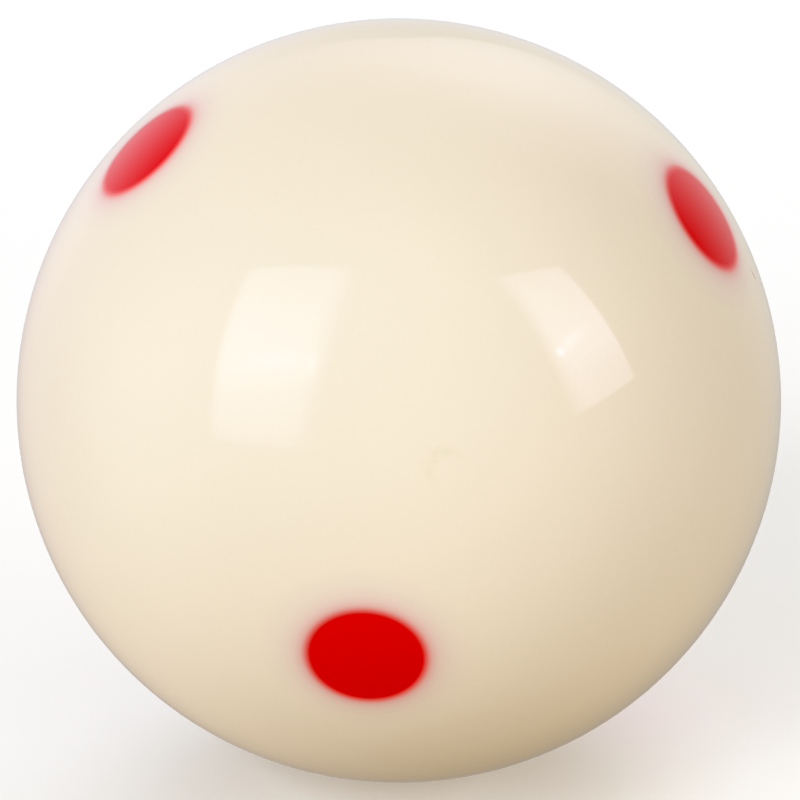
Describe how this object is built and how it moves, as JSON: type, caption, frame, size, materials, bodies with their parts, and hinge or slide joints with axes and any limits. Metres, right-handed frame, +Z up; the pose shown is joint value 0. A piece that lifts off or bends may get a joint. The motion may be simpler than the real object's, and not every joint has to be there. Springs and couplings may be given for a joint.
{
  "type": "cue ball",
  "caption": "Solid cream resin cue ball with round red inlays set flush in its surface, one at each end of three axes at right angles.",
  "frame": {"origin": "centre of the ball, which is also its centre of mass and the centre of its bounding box", "axes": "+Z is up as the ball lies on a level table. The front spot is on the -Y side and dips 16.5 degrees below level, and the ball is turned 38.4 degrees about that spot, anticlockwise as seen from the front, so the top spot leans towards -X and the right spot, on the +X side, points up and outwards."},
  "size_m": [0.0572, 0.0572, 0.0572],
  "materials": {
    "ivory_resin": "polished",
    "red_resin": "polished"
  },
  "bodies": {
    "root": {"ball_body": "ivory_resin", "spot_top": "red_resin", "spot_bottom": "red_resin", "spot_left": "red_resin", "spot_right": "red_resin", "spot_front": "red_resin", "spot_back": "red_resin"}
  },
  "joints": []
}
